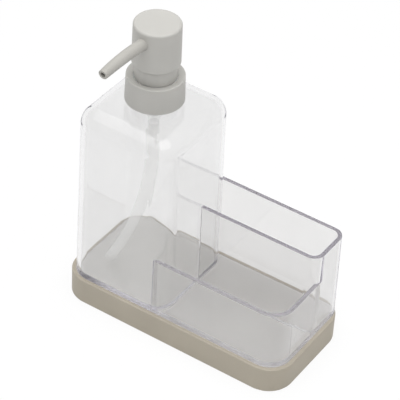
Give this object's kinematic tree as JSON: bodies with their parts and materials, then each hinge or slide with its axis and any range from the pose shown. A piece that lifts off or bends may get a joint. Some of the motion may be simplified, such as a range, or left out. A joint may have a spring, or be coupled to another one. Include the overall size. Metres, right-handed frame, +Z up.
{
  "type": "soap pump caddy",
  "caption": "Clear refillable soap pump bottle beside a clear organiser with a tall and a low compartment, on a rounded satin-nickel base.",
  "frame": {"origin": "on the standing surface, under the middle of the base", "axes": "+Z up, +X along the base from the bottle to the organiser, front of the caddy at -Y"},
  "size_m": [0.1596, 0.089, 0.1992],
  "materials": {
    "satin_nickel": "satin nickel-coloured paint",
    "clear_plastic": "clear, polished",
    "tube_plastic": "translucent",
    "milky_plastic": "translucent natural",
    "white_plastic": "moulded white",
    "gasket_rubber": "soft, matt",
    "pad_rubber": "soft, matt",
    "steel": "bright stainless"
  },
  "bodies": {
    "caddy": {"base_tray": "satin_nickel", "foot_pads": "pad_rubber", "bottle_body": "clear_plastic", "bottle_bottom": "clear_plastic", "caddy_walls": "clear_plastic"},
    "pump_unit": {"neck_gasket": "gasket_rubber", "pump_housing": "milky_plastic", "dip_tube": "tube_plastic", "chaplet": "white_plastic", "pump_sleeve": "satin_nickel", "return_spring": "steel"},
    "collar": {"closure_cap": "white_plastic", "collar_shell": "satin_nickel"},
    "plunger": {"pump_stem": "white_plastic", "piston": "white_plastic"},
    "head": {"head_core": "white_plastic", "head_shell": "satin_nickel", "spout": "satin_nickel"},
    "inlet_valve": {"inlet_ball": "steel"},
    "outlet_valve": {"outlet_ball": "steel"}
  },
  "joints": [
    {"name": "pump_lift", "type": "slide", "parent": "caddy", "child": "pump_unit", "axis": [0, 0, 1], "range_m": [0, 0.0084]},
    {"name": "collar_turn", "type": "hinge", "parent": "pump_unit", "child": "collar", "pos_m": [-0.04135, 0, 0.155], "axis": [0, 0, 1], "range_deg": [0, 721]},
    {"name": "pump_press", "type": "slide", "parent": "pump_unit", "child": "plunger", "axis": [0, 0, -1], "range_m": [0, 0.008], "stiffness_N_per_m": 1100, "springref_m": -0.006, "deforming": ["return_spring"]},
    {"name": "head_swivel", "type": "hinge", "parent": "plunger", "child": "head", "pos_m": [-0.04135, 0, 0.185], "axis": [0, 0, 1], "continuous": true},
    {"name": "inlet_lift", "type": "slide", "parent": "pump_unit", "child": "inlet_valve", "axis": [0, 0, 1], "range_m": [0, 0.0012]},
    {"name": "outlet_lift", "type": "slide", "parent": "plunger", "child": "outlet_valve", "axis": [0, 0, 1], "range_m": [0, 0.0012]}
  ],
  "couplings": [
    {"joint": "collar_turn", "follows": "pump_lift", "rad_per_m": 1496}
  ]
}
